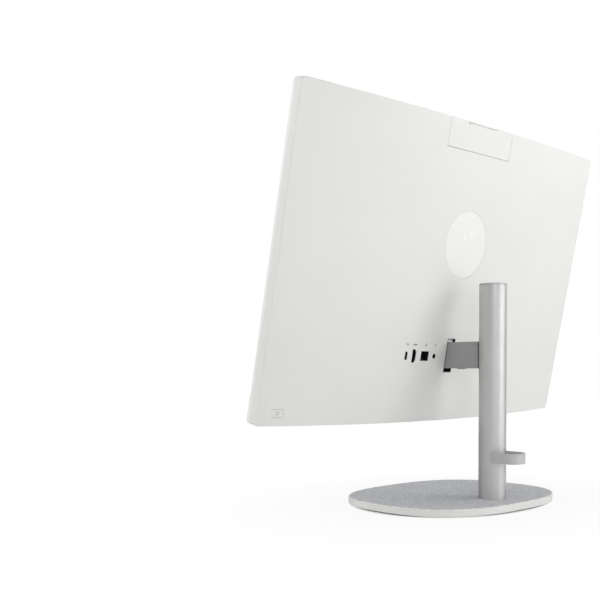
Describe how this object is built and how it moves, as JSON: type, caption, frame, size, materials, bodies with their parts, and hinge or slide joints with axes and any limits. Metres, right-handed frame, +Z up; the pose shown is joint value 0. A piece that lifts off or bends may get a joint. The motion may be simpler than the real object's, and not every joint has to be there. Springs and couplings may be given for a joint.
{
  "type": "all in one computer",
  "caption": "Desktop computer built into a wide flat screen, on a round pole stand with an oval base, a tilting arm, a cable clip, rear sockets and a pop-up camera.",
  "frame": {"origin": "centre of the base's footprint, on the surface that the feet stand on", "axes": "+Z up, the screen faces -Y, +X to the right of somebody looking at the screen"},
  "size_m": [0.54, 0.1832, 0.4264],
  "materials": {
    "cover_white": "fine matte moulding",
    "frame_white": "fine matte moulding",
    "rim_white": "satin moulding",
    "skin_grey": "fine mottled weave, bonded flat",
    "pole_silver": "satin anodised",
    "clip_silver": "satin",
    "arm_grey": "satin",
    "cast_metal": "as cast",
    "steel": "zinc plated",
    "foot_rubber": "matte",
    "black_plastic": "matte",
    "badge_gloss": "gloss, slightly reflective",
    "screen_glass": "black display, gloss",
    "film": "translucent film",
    "acrylic": "clear",
    "board_green": "solder mask",
    "chip_black": "epoxy",
    "copper": "bare copper",
    "fin_aluminium": "bare",
    "camera_glass": "black glass",
    "contact_gold": "gold plated",
    "mark_grey": "printed ink"
  },
  "bodies": {
    "stand": {"base_shell": "rim_white", "base_skin": "skin_grey", "base_weight": "steel", "base_underlay": "black_plastic", "rubber_feet": "foot_rubber", "base_screws": "steel", "pole_tube": "pole_silver", "pole_cap": "pole_silver", "pole_foot": "steel", "arm_insert": "steel", "tang_screws": "steel", "arm_core": "cast_metal", "arm_sleeve": "arm_grey", "arm_screw_cap": "arm_grey", "cable_clip": "clip_silver", "clip_screw": "steel"},
    "head": {"rear_cover": "cover_white", "slot_liner": "black_plastic", "camera_panel": "cover_white", "badge": "badge_gloss", "front_frame": "frame_white", "chin": "frame_white", "lcd_glass": "screen_glass", "diffuser_films": "film", "light_guide": "acrylic", "led_bar": "board_green", "panel_tray": "steel", "chassis": "steel", "chassis_screws": "steel", "hinge_bracket": "steel", "hinge_shaft": "steel", "hinge_washers": "steel", "hinge_nut": "steel", "mainboard": "board_green", "small_boards": "board_green", "board_pillars": "steel", "board_screws": "steel", "board_connectors": "black_plastic", "memory_modules": "board_green", "plug_in_cards": "board_green", "processor": "chip_black", "cold_plate": "copper", "heat_pipe": "copper", "fin_stack": "fin_aluminium", "fan_housing": "black_plastic", "fan_motor": "steel", "speaker_boxes": "black_plastic", "speaker_drivers": "black_plastic", "aerials": "copper", "usb_c_socket": "black_plastic", "hdmi_socket": "black_plastic", "ethernet_socket": "black_plastic", "power_jack": "black_plastic", "usb_a_sockets": "black_plastic", "camera_guide": "black_plastic"},
    "fan": {"fan_wheel": "black_plastic"},
    "power_button": {"power_button": "cover_white"},
    "camera": {"camera_body": "cover_white", "camera_lens": "camera_glass", "camera_window": "camera_glass"}
  },
  "joints": [
    {"name": "head_tilt", "type": "hinge", "parent": "stand", "child": "head", "pos_m": [0, -0.01696, 0.16707], "axis": [-1, 0, 0], "range_deg": [-16.4, 8.5]},
    {"name": "fan_spin", "type": "hinge", "parent": "head", "child": "fan", "pos_m": [0.17, 0.00668, 0.32675], "axis": [0, 0.9801, -0.1983], "continuous": true},
    {"name": "button_press", "type": "slide", "parent": "head", "child": "power_button", "axis": [0, -0.9801, 0.1983], "range_m": [0, 0.0009], "stiffness_N_per_m": 400, "springref_m": -0.0005},
    {"name": "camera_lift", "type": "slide", "parent": "head", "child": "camera", "axis": [0, 0.1983, 0.9801], "range_m": [0, 0.022]}
  ]
}
